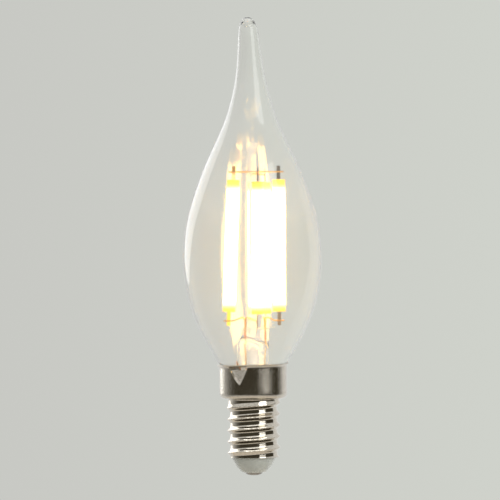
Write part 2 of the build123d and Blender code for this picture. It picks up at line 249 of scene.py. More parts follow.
def addGroup(tree, group, values):
    node = addNode(tree, "ShaderNodeGroup", node_tree=group)
    setInputs(node, values)
    return node


def makeGrainGroup():
    # noise on Object coordinates, stretched per axis
    defaults = {"Stretch": (1, 1, 1), "Scale": 1000, "Detail": 3.0, "Roughness": 0.55}
    group, start, end = makeGroup("surfaceGrain", defaults, "Grain")
    where = addNode(group, "ShaderNodeTexCoord")
    stretcher = addNode(group, "ShaderNodeMapping")
    noise = addNode(group, "ShaderNodeTexNoise")
    join(group, where.outputs["Object"], stretcher.inputs["Vector"])
    join(group, start.outputs["Stretch"], stretcher.inputs["Scale"])
    join(group, stretcher.outputs["Vector"], noise.inputs["Vector"])
    for label in ("Scale", "Detail", "Roughness"):
        join(group, start.outputs[label], noise.inputs[label])
    join(group, noise.outputs["Fac"], end.inputs["Grain"])
    return group


grainGroup = makeGrainGroup()


def addGrain(tree, scale, detail=3.0, rough=0.55, stretch=(1, 1, 1)):
    values = {"Stretch": stretch, "Scale": scale, "Detail": detail, "Roughness": rough}
    return addGroup(tree, grainGroup, values).outputs["Grain"]


def makeHeightGroup():
    # one value below a height on the piece and another above it
    defaults = {"Low": 0.0, "High": 1.0, "Below": 0.0, "Above": 1.0}
    group, start, end = makeGroup("heightRamp", defaults, "Value")
    where = addNode(group, "ShaderNodeTexCoord")
    split = addNode(group, "ShaderNodeSeparateXYZ")
    ramp = addNode(group, "ShaderNodeMapRange")
    join(group, where.outputs["Object"], split.inputs["Vector"])
    join(group, split.outputs["Z"], ramp.inputs["Value"])
    limits = {"Low": "From Min", "High": "From Max", "Below": "To Min", "Above": "To Max"}
    for label, limit in limits.items():
        join(group, start.outputs[label], ramp.inputs[limit])
    join(group, ramp.outputs["Result"], end.inputs["Value"])
    return group


heightGroup = makeHeightGroup()


def addHeight(tree, low, high, below, above):
    # low and high in mm
    values = {"Low": low * mm, "High": high * mm, "Below": below, "Above": above}
    return addGroup(tree, heightGroup, values).outputs["Value"]


def makeFilmGroup():
    # handling marks: a faint film that dulls gloss in patches
    group, start, end = makeGroup("handlingFilm", {"Clean": 0.05, "Dull": 0.2}, "Roughness")
    patches = addGrain(group, 160, detail=4.0, rough=0.6, stretch=(1, 1, 0.6))
    mask = spread(group, patches, 0.5, 0.72, 0.0, 1.0)
    marked = mixValues(group, mask, start.outputs["Clean"], start.outputs["Dull"])
    join(group, marked, end.inputs["Roughness"])
    return group


filmGroup = makeFilmGroup()


def addFilm(tree, shader, clean, dull):
    film = addGroup(tree, filmGroup, {"Clean": clean, "Dull": dull}).outputs["Roughness"]
    join(tree, film, shader.inputs["Roughness"])
    return film


def addBump(tree, shader, height, strength, distance=0.0001):
    bump = addNode(tree, "ShaderNodeBump")
    setInputs(bump, {"Strength": strength, "Distance": distance})
    join(tree, height, bump.inputs["Height"])
    join(tree, bump.outputs["Normal"], shader.inputs["Normal"])


def tint(tree, shader, mask, dark, light):
    # base colour that varies between two tones
    join(tree, mixColours(tree, mask, dark, light), shader.inputs["Base Color"])


def letLampsThrough(tree, shader):
    # lamps' rays pass the glass, so what is inside stays lit
    path = addNode(tree, "ShaderNodeLightPath")
    clear = addNode(tree, "ShaderNodeBsdfTransparent")
    target = tree.nodes["Material Output"].inputs["Surface"]
    mixShaders(tree, path.outputs["Is Shadow Ray"], shader.outputs["BSDF"], clear.outputs["BSDF"], target)


# glass, with faint waves drawn out along the bulb
glassLooks = {
    "clearGlass": {
        "colour": (0.985, 0.985, 0.975), "through": 0.996, "film": (0.068, 0.095),
        "waves": 0.06, "stretch": (1, 1, 0.25),
    },
    "stemGlass": {
        "colour": (0.98, 0.98, 0.965), "through": 0.88, "film": (0.0, 0.02),
        "waves": 0.3, "stretch": (1, 1, 0.2),
    },
    "tubeGlass": {
        "colour": (0.98, 0.97, 0.94), "through": 0.70, "film": (0.02, 0.08),
        "waves": 0.3, "stretch": (1, 1, 0.2),
    },
    "postGlass": {
        "colour": (0.98, 0.98, 0.96), "through": 0.90, "film": (0.02, 0.08),
        "waves": 0.3, "stretch": (1, 1, 0.2),
    },
}


def makeGlass(name, look):
    material, tree, shader = newMaterial(name)
    shader.inputs["Base Color"].default_value = (*look["colour"], 1)
    setInputs(shader, {"Transmission Weight": look["through"], "IOR": 1.5})
    addFilm(tree, shader, *look["film"])
    ripple = addGrain(tree, scale=60, detail=2.0, stretch=look["stretch"])
    addBump(tree, shader, ripple, look["waves"], distance=0.0004)
    letLampsThrough(tree, shader)
    return material


# nickel of the cap
nickel = {
    "dark": (0.51, 0.475, 0.40), "light": (0.72, 0.67, 0.585), "film": (0.12, 0.18), "relief": 0.45,
    "drawnScale": 2600, "drawnStretch": (1, 1, 0.12),
    "speckleScale": 4200, "speckleStretch": (1, 1, 0.7), "speckleLow": 0.36, "speckleHigh": 0.66,
    "burnishedZ": 18.5, "satinZ": 20.5, "burnishedRelief": 0.02, "burnishedShare": 0.85,
}


def makeNickel():
    # dull nickel plate: fine drawing marks up and down, and a speckle that breaks up a highlight
    material, tree, shader = newMaterial("capNickel")
    shader.inputs["Metallic"].default_value = 1.0
    drawn = addGrain(tree, nickel["drawnScale"], detail=5.0, rough=0.65, stretch=nickel["drawnStretch"])
    speckle = addGrain(tree, nickel["speckleScale"], detail=2.0, rough=0.7, stretch=nickel["speckleStretch"])
    grains = spread(tree, speckle, nickel["speckleLow"], nickel["speckleHigh"], 0.0, 1.0)
    tint(tree, shader, grains, nickel["dark"], nickel["light"])
    film = addFilm(tree, shader, *nickel["film"])
    both = combine(tree, "ADD", drawn, speckle)
    # rolling has burnished the thread, the collar is left satin
    satin = addHeight(tree, nickel["burnishedZ"], nickel["satinZ"], nickel["burnishedRelief"], 1.0)
    relief = combine(tree, "MULTIPLY", both, satin)
    addBump(tree, shader, relief, nickel["relief"])
    share = spread(tree, satin, nickel["burnishedRelief"], 1.0, nickel["burnishedShare"], 1.0)
    gloss = combine(tree, "MULTIPLY", film, share)
    join(tree, gloss, shader.inputs["Roughness"])
    return material


# wires, tabs and the contact
metalLooks = {
    "wireMetal": {
        "dark": (0.50, 0.25, 0.05), "light": (0.86, 0.52, 0.15), "film": (0.28, 0.45),
        "relief": 0.3, "scale": 3000, "metallic": 0.5,
    },
    # one tab metal in two tones: the head tabs darker with painted shade, the foot tabs lighter with painted
    # light
    "tabMetal": {
        "dark": (0.14, 0.11, 0.085), "light": (0.30, 0.25, 0.20), "film": (0.32, 0.5),
        "relief": 0.3, "scale": 2500, "metallic": 1.0,
    },
    "footTabMetal": {
        "dark": (0.26, 0.20, 0.14), "light": (0.48, 0.39, 0.29), "film": (0.32, 0.5),
        "relief": 0.3, "scale": 2500, "metallic": 1.0,
    },
    "neutralCopper": {
        "dark": (0.45, 0.20, 0.07), "light": (0.85, 0.45, 0.20), "film": (0.25, 0.4),
        "relief": 0.3, "scale": 2500, "metallic": 1.0,
    },
    "dumetCopper": {
        "dark": (0.48, 0.14, 0.03), "light": (0.82, 0.34, 0.10), "film": (0.3, 0.5),
        "relief": 0.3, "scale": 2500, "metallic": 0.5,
    },
    # the contact's grey is toned darker: its own colour with painted shade, for the dark line along its edge
    "contactMetal": {
        "dark": (0.22, 0.21, 0.19), "light": (0.42, 0.41, 0.38), "film": (0.22, 0.42),
        "relief": 0.4, "scale": 1800, "metallic": 1.0,
    },
}


def makeMetal(name, look):
    material, tree, shader = newMaterial(name)
    shader.inputs["Metallic"].default_value = look["metallic"]
    streaks = addGrain(tree, look["scale"], detail=5.0, rough=0.65)
    tint(tree, shader, streaks, look["dark"], look["light"])
    addFilm(tree, shader, *look["film"])
    addBump(tree, shader, streaks, look["relief"], distance=0.00005)
    return material


# ceramic, cement, laminate, plastics and lacquer
plainLooks = {
    "substrateCeramic": {
        "dark": (0.80, 0.78, 0.72), "light": (0.92, 0.91, 0.86),
        "film": (0.5, 0.6), "relief": 0.2, "scale": 2500,
    },
    "basingCement": {
        "dark": (0.11, 0.09, 0.065), "light": (0.21, 0.17, 0.12),
        "film": (0.8, 0.95), "relief": 1.0, "scale": 1500,
    },
    "boardLaminate": {
        "dark": (0.05, 0.16, 0.08), "light": (0.08, 0.24, 0.12),
        "film": (0.45, 0.6), "relief": 0.2, "scale": 1500,
    },
    "blackMoulding": {
        "dark": (0.02, 0.02, 0.022), "light": (0.05, 0.05, 0.055),
        "film": (0.5, 0.65), "relief": 0.2, "scale": 2000,
    },
    "canSleeve": {
        "dark": (0.03, 0.04, 0.09), "light": (0.06, 0.08, 0.15),
        "film": (0.25, 0.4), "relief": 0.1, "scale": 1500,
    },
    "resistorLacquer": {
        "dark": (0.10, 0.22, 0.20), "light": (0.18, 0.32, 0.29),
        "film": (0.4, 0.5), "relief": 0.2, "scale": 1500,
    },
    "insulatingFilm": {
        "dark": (0.70, 0.70, 0.66), "light": (0.85, 0.85, 0.80),
        "film": (0.3, 0.45), "relief": 0.1, "scale": 1200,
    },
}


def makePlain(name, look):
    material, tree, shader = newMaterial(name)
    mottle = addGrain(tree, look["scale"], detail=4.0)
    tint(tree, shader, mottle, look["dark"], look["light"])
    addFilm(tree, shader, *look["film"])
    addBump(tree, shader, mottle, look["relief"])
    return material


# resin of the cap's insulator
resin = {
    "dark": (0.545, 0.575, 0.525), "light": (0.645, 0.675, 0.625), "film": (0.22, 0.4), "relief": 0.15,
    "scale": 500, "soft": 0.25, "softReach": (0.002, 0.002, 0.0018),
}


def makeResin():
    # pale, slightly translucent moulding
    material, tree, shader = newMaterial("insulatorResin")
    mottle = addGrain(tree, resin["scale"])
    tint(tree, shader, mottle, resin["dark"], resin["light"])
    setInputs(shader, {"Subsurface Weight": resin["soft"], "Subsurface Radius": resin["softReach"]})
    shader.inputs["Subsurface Scale"].default_value = 1.0
    addFilm(tree, shader, *resin["film"])
    addBump(tree, shader, mottle, resin["relief"])
    return material


# the left filament's two tabs, with heights in mm: below a height each one glows, painted glow for the
# filament's light falling on it, and their base tones, yellow on the foot tab and lighter on the head tab
# than on the other head tabs, are painted light as well
paintedGlowTabLooks = {
    "litTab": {
        "dark": (0.75, 0.48, 0.06), "light": (0.95, 0.70, 0.12),
        "glow": (1.0, 0.72, 0.08), "strength": 0.6, "glowZ": 60, "plainZ": 61,
    },
    "litHeadTab": {
        "dark": (0.26, 0.15, 0.05), "light": (0.42, 0.26, 0.09),
        "glow": (1.0, 0.66, 0.30), "strength": 1.1, "glowZ": 75.9, "plainZ": 76.9,
    },
}
tabStreaks = {"scale": 1800, "stretch": (1, 1, 0.4), "film": (0.4, 0.6), "relief": 0.3}


def makePaintedGlowTab(name, look):
    # a tinted tab that glows below a height: painted glow, standing for the filament's light on it
    material, tree, shader = newMaterial(name)
    streaks = addGrain(tree, tabStreaks["scale"], stretch=tabStreaks["stretch"])
    tint(tree, shader, streaks, look["dark"], look["light"])
    # painted glow: emission below the height stands for light from the filament
    strength = addHeight(tree, look["glowZ"], look["plainZ"], look["strength"], 0.0)
    join(tree, strength, shader.inputs["Emission Strength"])
    shader.inputs["Emission Color"].default_value = (*look["glow"], 1)
    addFilm(tree, shader, *tabStreaks["film"])
    addBump(tree, shader, streaks, tabStreaks["relief"])
    return material


# phosphor coat of the filaments, with heights in mm
phosphor = {
    "footZ": 41.5, "headZ": 74.7, "footEnd": 1.45, "headEnd": 1.9, "fade": 1.4, "fadePower": 3.0,
    "lit": (1.0, 0.65, 0.19), "litStrength": 25.0,
    "end": (1.0, 0.68, 0.09), "endStrength": 0.62,
    "dark": (0.92, 0.50, 0.06), "light": (1.0, 0.62, 0.12),
    "roughness": 0.45, "relief": 0.2, "scale": 3000,
}


def makePhosphor(name, drop):
    # glowing coat whose two ends stay yellow
    material, tree, shader = newMaterial(name)
    low = phosphor["footZ"] - drop + phosphor["footEnd"]
    high = phosphor["headZ"] - drop - phosphor["headEnd"]
    fade = phosphor["fade"]
    fromFoot = addHeight(tree, low - fade, low + fade, 0.0, 1.0)
    fromHead = addHeight(tree, high - fade, high + fade, 1.0, 0.0)
    both = combine(tree, "MULTIPLY", fromFoot, fromHead)
    rise = combine(tree, "POWER", both, phosphor["fadePower"])
    dim = phosphor["endStrength"] / phosphor["litStrength"]
    end = [channel * dim for channel in phosphor["end"]]
    join(tree, mixColours(tree, rise, end, phosphor["lit"]), shader.inputs["Emission Color"])
    setInputs(shader, {"Emission Strength": phosphor["litStrength"], "Roughness": phosphor["roughness"]})
    speckle = addGrain(tree, phosphor["scale"])
    tint(tree, shader, speckle, phosphor["dark"], phosphor["light"])
    addBump(tree, shader, speckle, phosphor["relief"], distance=0.00005)
    return material


materials = {"capNickel": makeNickel(), "insulatorResin": makeResin()}
makers = [
    (makeGlass, glassLooks), (makeMetal, metalLooks), (makePlain, plainLooks), (makePaintedGlowTab, paintedGlowTabLooks),
]
for maker, looks in makers:
    for name, look in looks.items():
        materials[name] = maker(name, look)
# the inner pair of filaments stands lower than the pair at the sides, by this many mm
for name, drop in (("sidePhosphor", 0.0), ("innerPhosphor", 0.6)):
    materials[name] = makePhosphor(name, drop)
print("materials made")


# glass envelope: profile drawn as curves, turned, tail eased over to the left
envelope = {
    "wall": 0.7, "steps": 160, "resolution": 4,
    "neckR": 7.0, "boreR": 6.3, "footZ": 21.4, "neckZ": 25.5, "topZ": 116.0,
    "outer": [
        (7.0, 27.2), (7.35, 27.75), (8.6, 28.2), (9.75, 30.05), (11.45, 33.0), (13.05, 36.0), (14.55, 39.3),
        (15.75, 42.6), (16.8, 47.0), (17.4, 51.5), (17.53, 55.2), (17.3, 59.6), (16.55, 64.6), (15.15, 69.7),
        (13.35, 74.8), (11.3, 79.8), (8.9, 84.9), (6.68, 89.95), (5.2, 94.6), (4.05, 99.3), (3.3, 104.2),
        (2.8, 109.2), (2.48, 112.4), (2.15, 113.9), (1.6, 115.05), (0.85, 115.78), (0.0, 115.98),
    ],
    # the bore follows the outside up to boreZ, with a thinner wall where the tail is slim
    "boreZ": 109.5, "slimR": 5, "slimWall": 0.94,
    # it ends under a thin skin that sags below the bubble
    "boreEnd": [
        (2.0, 111.6), (1.95, 112.6), (1.85, 113.4), (1.72, 113.95), (1.58, 114.1), (1.38, 113.95),
        (0.75, 113.42),
    ],
    "tipDrop": 2.75,
    "bubble": [
        (0.0, 113.38), (0.6, 113.5), (1.12, 113.86), (1.4, 114.38), (1.42, 114.86), (1.2, 115.3),
        (0.7, 115.62), (0.0, 115.74),
    ],
    "bendFrom": 93.0, "bendReach": 0.75, "bendPower": 1.6,
}


def makeBubble():
    # a hollow in the melted tip, so its faces look inwards
    obj = drawCurve("tipBubble", [envelope["bubble"]], envelope["resolution"])
    turnOnLathe(obj, envelope["steps"])
    bpy.ops.object.mode_set(mode="EDIT")
    bpy.ops.mesh.select_all(action="SELECT")
    bpy.ops.mesh.flip_normals()
    bpy.ops.object.mode_set(mode="OBJECT")


def bendTail(x, y, z):
    t = max(0.0, (z - envelope["bendFrom"]) / (envelope["topZ"] - envelope["bendFrom"]))
    return x - envelope["bendReach"] * t ** envelope["bendPower"], y, z


def makeEnvelope():
    neckR = envelope["neckR"]
    boreR = envelope["boreR"]
    footZ = envelope["footZ"]
    neckZ = envelope["neckZ"]
    outer = [(boreR, footZ, "v"), (neckR, footZ, "v"), (neckR, neckZ)] + envelope["outer"]
    inner = [(boreR, footZ, "v"), (boreR, neckZ)]
    for r, z in envelope["outer"]:
        if z < envelope["boreZ"]:
            share = 1.0 if r > envelope["slimR"] else envelope["slimWall"]
            inner.append((r - envelope["wall"] * share, z))
    inner += envelope["boreEnd"] + [(0.0, envelope["topZ"] - envelope["tipDrop"])]
    obj = drawCurve("glassEnvelope", [outer, inner], envelope["resolution"])
    turnOnLathe(obj, envelope["steps"])
    makeBubble()
    obj.select_set(True)
    bpy.context.view_layer.objects.active = obj
    bpy.ops.object.join()
    moveVerts(obj, bendTail)
    return obj


glassEnvelope = makeEnvelope()
handIn(glassEnvelope, "clear_glass", materials["clearGlass"], "glass_envelope")
print("envelope made", len(glassEnvelope.data.polygons))


# stem: rings lofted from the flare up into the flat press
stem = {
    "segments": 64,
    # z, half width, half depth, shift right, squareness (2 is round)
    "outside": [
        (21.4, 6.3, 6.3, 0, 2), (22.5, 6.3, 6.3, 0, 2), (23.2, 5.95, 5.95, 0, 2), (24.2, 5.3, 5.3, 0, 2),
        (25.4, 4.65, 4.65, 0, 2), (26.8, 4.18, 4.18, 0, 2), (28.0, 4.0, 4.0, 0, 2), (30.4, 4.0, 4.0, 0, 2),
        (32.2, 4.0, 4.0, 0, 2), (32.8, 3.97, 3.85, 0.05, 2.05), (33.3, 3.85, 3.1, 0.25, 2.2),
        (33.8, 3.7, 2.2, 0.45, 2.5), (34.3, 3.57, 1.6, 0.58, 3.0), (34.8, 3.55, 1.45, 0.6, 3.4),
        (35.8, 3.5, 1.42, 0.6, 3.6), (36.8, 3.54, 1.45, 0.6, 3.6), (37.2, 3.48, 1.38, 0.6, 3.4),
        (37.42, 3.25, 1.15, 0.6, 3.0), (37.5, 2.7, 0.7, 0.6, 2.6), (37.5, 0.9, 0.25, 0.6, 2),
    ],
    "inside": [
        (21.4, 5.7, 5.7, 0, 2), (22.6, 5.68, 5.68, 0, 2), (23.6, 5.1, 5.1, 0, 2), (24.8, 4.35, 4.35, 0, 2),
        (26.4, 3.65, 3.65, 0, 2), (28.0, 3.4, 3.4, 0, 2), (31.2, 3.4, 3.4, 0, 2), (32.2, 3.36, 3.1, 0.03, 2),
        (32.9, 3.2, 2.2, 0.15, 2), (33.5, 2.8, 1.3, 0.3, 2), (33.9, 2.1, 0.7, 0.4, 2),
        (34.0, 0.9, 0.25, 0.45, 2),
    ],
    # the slant grows over slantRise from slantLow and goes over slantFall from slantHigh
    "slant": 0.28, "slantLow": 30.6, "slantRise": 1.8, "slantHigh": 34.4, "slantFall": 2.2,
}


def setRing(verts, ring):
    z, halfWidth, halfDepth, shift, square = ring
    # the squeezed shoulder slants down to the right
    grown = ease((z - stem["slantLow"]) / stem["slantRise"])
    gone = ease((z - stem["slantHigh"]) / stem["slantFall"])
    slant = stem["slant"] * grown * (1 - gone)
    for k, vert in enumerate(verts):
        angle = 2 * math.pi * k / len(verts)
        c = math.cos(angle)
        s = math.sin(angle)
        x = math.copysign(abs(c) ** (2 / square), c) * halfWidth
        y = math.copysign(abs(s) ** (2 / square), s) * halfDepth
        vert.co = ((x + shift) * mm, y * mm, (z - slant * x) * mm)


def fillRing(obj, first, count):
    dropSelection("VERT")
    for vert in list(obj.data.vertices)[first:first + count]:
        vert.select = True
    bpy.ops.object.mode_set(mode="EDIT")
    bpy.ops.mesh.edge_face_add()
    bpy.ops.object.mode_set(mode="OBJECT")


def loftRings(name, rings, segments):
    # a circle extruded ring by ring, each ring then set to its own outline, and both ends filled
    bpy.ops.object.select_all(action="DESELECT")
    bpy.ops.mesh.primitive_circle_add(vertices=segments, location=(0, 0, 0))
    obj = bpy.context.active_object
    obj.name = name
    setRing(list(obj.data.vertices), rings[0])
    for ring in rings[1:]:
        bpy.ops.object.mode_set(mode="EDIT")
        bpy.ops.mesh.extrude_edges_move(TRANSFORM_OT_translate={"value": (0, 0, 0.1 * mm)})
        bpy.ops.object.mode_set(mode="OBJECT")
        setRing(list(obj.data.vertices)[-segments:], ring)
    fillRing(obj, len(obj.data.vertices) - segments, segments)
    fillRing(obj, 0, segments)
    return obj


def makeStem():
    # down the outside, round the flare's edge and up the bore
    obj = loftRings("stemFlare", stem["outside"][::-1] + stem["inside"], stem["segments"])
    smooth = obj.modifiers.new("soften", "SUBSURF")
    smooth.levels = 1
    smooth.render_levels = 1
    applyAll(obj)
    closeUp(obj)
    pick(obj)
    bpy.ops.object.shade_smooth()
    return obj


stemFlare = makeStem()
handIn(stemFlare, "stem_glass", materials["stemGlass"], "stem_flare")

exhaust = {
    "steps": 48, "resolution": 4,
    "outline": [
        (0, 19.1), (0.55, 19.25), (0.9, 19.8), (0.9, 21.0), (0.9, 32.4, "v"), (1.5, 32.4, "v"), (1.5, 20.0),
        (1.42, 18.9), (1.0, 18.15), (0.5, 17.9), (0, 17.82),
    ],
}
exhaustTube = turnPiece("exhaustTube", exhaust)
handIn(exhaustTube, "stem_glass", materials["tubeGlass"], "exhaust_tube")

post = {
    "steps": 48, "resolution": 4,
    "outline": [
        (0, 35.9, "v"), (1.0, 35.9, "v"), (1.08, 36.4), (1.1, 38.5), (1.1, 50), (1.09, 60), (1.08, 70),
        (1.08, 76), (1.09, 80.2), (1.14, 81.4), (1.36, 82.1), (1.49, 82.9), (1.38, 83.6), (1.0, 84.15),
        (0.5, 84.36), (0, 84.39),
    ],
}
centrePost = turnPiece("centrePost", post)
handIn(centrePost, "stem_glass", materials["postGlass"], "centre_post")
print("stem made")


# screw cap: sheet profile turned, thread rolled in, clinch facet pressed
cap = {
    "steps": 240, "threadStep": 0.08, "collarStep": 0.14, "weld": 0.000004,
    "edgeZ": 4.6, "shoulderZ": 19.4, "corner": 1.35, "cornerSteps": 12, "sheet": 0.3,
    "collarR": 8.55, "collarGap": 0.2, "collarZ": 27.0, "lipZ": 27.1,
    # the thread, whose run-out is counted in turns from its last groove
    "crestR": 6.8, "rootR": 6.0, "bandR": 6.45, "rootShare": 0.27, "rootTaper": 0.06, "crestPeak": 0.4,
    "pitch": 2.822, "leadIn": 0.62, "lastGroove": 5, "rootClimb": 0.5, "crestFade": 0.28,
    # the foot of the shoulder: r, and z above shoulderZ
    "shoulderFoot": [(6.8, -0.3), (6.83, -0.12), (6.95, -0.02), (7.1, 0)],
    "threadGap": 0.45, "holdDrop": 0.35, "holdRise": 0.33, "holdIn": 0.32, "footR": 7.0, "footTop": 0.25,
    # the inner skin has half as many points up to thinZ, and stands one sheet higher in the shoulder's band
    "thinZ": 18.5, "shoulderBand": (18.9, 21),
    # the lip turns out sharply at the top
    "lip": [
        (8.555, 27.35), (8.58, 27.55), (8.66, 27.72), (8.8, 27.86), (8.96, 27.96), (9.06, 28.03),
        (9.08, 28.1), (9.03, 28.17), (8.9, 28.2), (8.7, 28.17), (8.5, 28.05), (8.36, 27.86),
        (8.28, 27.7), (8.26, 27.55), (8.25, 27.35),
    ],
    "rimFrom": 27.2, "rimRise": 0.8, "rimTilt": 0.22, "rimSink": 0.05,
    "rimWave": 0.05, "rimWaves": 3, "rimPhase": 0.8,
    "lipWave": 0.03, "lipWaves": 5, "lipOut": 0.04, "lipLean": 0.1,
    "facetTurn": math.radians(-28.2), "facetHalf": 2.7, "facetShift": 0.7,
    "facetApex": 23.0, "facetTop": 27.3,
    "facetDeep": 1.0, "facetShallow": 0.1, "facetCurl": 1.05, "facetEdge": 0.3, "facetLead": 0.08,
    "pressFrom": 22.5, "pressEnd": 27.12, "pressFade": 0.3, "skinR": 8.4,
    # torn slots through both skins between the facet and the rim, from and to across the facet
    "tears": [(-2.42, -0.55), (0.15, 2.42)], "tearLow": 26.85, "tearHigh": 27.68, "tearFront": -7.5,
}


def threadShape(d):
    # 0 at the root and 1 at the crest, where d is the distance to the groove's middle
    half = cap["pitch"] / 2
    flat = half * cap["rootShare"]
    rise = max(0.0, (min(abs(d), half) - flat) / (half - flat))
    return ease(rise) * (1 - cap["crestPeak"]) + rise * rise * cap["crestPeak"]


def threadRadius(angle, z):
    t = (angle / (2 * math.pi)) % 1.0
    q = (z - cap["edgeZ"]) / cap["pitch"] + cap["leadIn"] - t
    above = (q - round(q)) * cap["pitch"]
    shape = threadShape(above)
    root = cap["rootR"]
    crest = cap["crestR"]
    band = cap["bandR"]
    last = cap["lastGroove"]
    if q > last - 0.5:
        # the last groove climbs to the plain band and the last crest dies away
        root = root + (band - root) * ease(t / cap["rootClimb"])
        if q >= last:
            crest = crest + (band - crest) * ease(t / cap["crestFade"])
        if q >= last + 0.5:
            root = band
        if q >= last + 1:
            crest = band
    # the roots taper a little, narrower upwards
    return root + shape * (crest - root) - cap["rootTaper"] * above * (1 - shape)


def makeCapProfile():
    shoulder = cap["shoulderZ"]
    corner = cap["corner"]
    collar = cap["collarR"]
    outer = []
    z = cap["edgeZ"]
    while z < shoulder - cap["threadGap"]:
        outer.append((cap["crestR"], z))
        z += cap["threadStep"]
    outer += [(r, shoulder + rise) for r, rise in cap["shoulderFoot"]]
    for k in range(cap["cornerSteps"] + 1):
        turn = math.pi / 2 * k / cap["cornerSteps"]
        r = collar - corner + corner * math.sin(turn)
        outer.append((r, shoulder + corner - corner * math.cos(turn)))
    z = shoulder + corner + cap["collarGap"]
    while z < cap["collarZ"]:
        outer.append((collar, z))
        z += cap["collarStep"]
    outer.append((collar, cap["lipZ"]))
    kept = [point for k, point in enumerate(outer) if point[1] > cap["thinZ"] or k % 2 == 0]
    low, high = cap["shoulderBand"]
    sheet = cap["sheet"]
    inner = [(r - sheet, z + (sheet if low < z < high else 0.0)) for r, z in kept]
    return outer + cap["lip"] + inner[::-1]


def tearSlot(obj, fromX, toX):
    pick(obj)
    dropSelection("FACE")
    for face in obj.data.polygons:
        x, y, z = face.center / mm
        px, py = turnBy(x, y, -cap["facetTurn"])
        face.select = py < cap["tearFront"] and fromX < px < toX and cap["tearLow"] < z < cap["tearHigh"]
    bpy.ops.object.mode_set(mode="EDIT")
    bpy.ops.mesh.delete(type="FACE")
    bpy.ops.mesh.select_mode(type="EDGE")
    bpy.ops.mesh.select_non_manifold()
    bpy.ops.mesh.bridge_edge_loops()
    bpy.ops.object.mode_set(mode="OBJECT")


def rollThread(r, angle, z):
    # both skins follow the thread and are held to one radius at the foot of the shoulder
    skin = r - cap["crestR"]
    hold = ease((z - (cap["shoulderZ"] - cap["holdDrop"])) / cap["holdRise"])
    rolled = threadRadius(angle, z)
    return rolled + skin + (cap["crestR"] - cap["holdIn"] - rolled) * hold


def workRim(r, angle, z):
    # rim not quite even, and a little higher on the right
    edge = ease((z - cap["rimFrom"]) / cap["rimRise"])
    rimWave = cap["rimWave"] * math.sin(cap["rimWaves"] * angle + cap["rimPhase"])
    lipWave = cap["lipWave"] * math.sin(cap["lipWaves"] * angle)
    z += edge * (rimWave + cap["rimTilt"] * math.cos(angle) - cap["rimSink"])
    r += edge * (lipWave + cap["lipOut"] - cap["lipLean"] * math.cos(angle))
    return r, z


def insideFacet(x, z):
    # how far inside the V a point is, 0 outside and 1 well inside
    if z < cap["facetApex"]:
        return 0.0
    share = min((z - cap["facetApex"]) / (cap["facetTop"] - cap["facetApex"]), 1.0)
    half = cap["facetHalf"]
    shift = cap["facetShift"]
    left = shift + (-half - shift) * share
    right = shift + (half - shift) * share
    inside = min(x - left, right - x)
    return ease((inside + cap["facetLead"]) / cap["facetEdge"])


def pressFacet(x, y, r, z):
    # the collar pushed in to a plane that lies deeper towards the top of the V
    px, py = turnBy(x, y, -cap["facetTurn"])
    push = insideFacet(px, z) * (1 - ease((z - cap["pressEnd"]) / cap["pressFade"]))
    if push > 0:
        share = min(1.0, (z - cap["facetApex"]) / (cap["facetTop"] - cap["facetApex"]))
        deep = cap["facetShallow"] + (cap["facetDeep"] - cap["facetShallow"]) * share ** cap["facetCurl"]
        outerSkin = r > cap["skinR"]
        plane = -(cap["collarR"] - deep) + (0.0 if outerSkin else cap["sheet"])
        if py < plane:
            py += (plane - py) * push
    return turnBy(px, py, cap["facetTurn"])


def shapeCap(x, y, z):
    r = math.hypot(x, y)
    angle = math.atan2(y, x)
    if z < cap["shoulderZ"] + cap["footTop"] and r < cap["footR"]:
        r = rollThread(r, angle, z)
    if z > cap["rimFrom"]:
        r, z = workRim(r, angle, z)
    x = r * math.cos(angle)
    y = r * math.sin(angle)
    if z > cap["pressFrom"] and y < 0:
        x, y = pressFacet(x, y, r, z)
    return x, y, z


def makeCap():
    obj = drawSteps("screwCap", makeCapProfile())
    turnOnLathe(obj, cap["steps"])
    for fromX, toX in cap["tears"]:
        tearSlot(obj, fromX, toX)
    moveVerts(obj, shapeCap)
    closeUp(obj, cap["weld"])
    smoothEdges(obj)
    return obj


screwCap = makeCap()
handIn(screwCap, "cap_nickel", materials["capNickel"], "screw_shell")
print("cap made", len(screwCap.data.polygons))


# insulator and centre contact
insulator = {
    "steps": 128, "resolution": 6,
    "outline": [
        (0.95, 6.0, "v"), (5.65, 6.0, "v"), (5.65, 4.8, "v"), (5.5, 4.55), (5.33, 4.05), (5.04, 3.4),
        (4.58, 2.6), (4.06, 1.9), (3.48, 1.28), (3.02, 0.88), (2.8, 0.76), (2.62, 0.74), (2.42, 0.84),
        (2.35, 1.0, "v"), (0.95, 1.0, "v"), (0.95, 6.0, "v"),
    ],
}
capInsulator = turnPiece("capInsulator", insulator)
smoothEdges(capInsulator)
handIn(capInsulator, "insulator_resin", materials["insulatorResin"], "cap_insulator")

contact = {
    "steps": 96, "resolution": 5,
    "outline": [
        (0, 6.3, "v"), (0.9, 6.3, "v"), (0.9, 1.02, "v"), (2.28, 1.0, "v"), (2.3, 0.9), (2.2, 0.62),
        (1.95, 0.34), (1.55, 0.14), (1.15, 0.04), (0.8, 0.012), (0.4, 0.008), (0, 0.008),
    ],
}
centreContact = turnPiece("centreContact", contact)
smoothEdges(centreContact)
handIn(centreContact, "contact_metal", materials["contactMetal"], "centre_contact")
print("insulator and contact made")


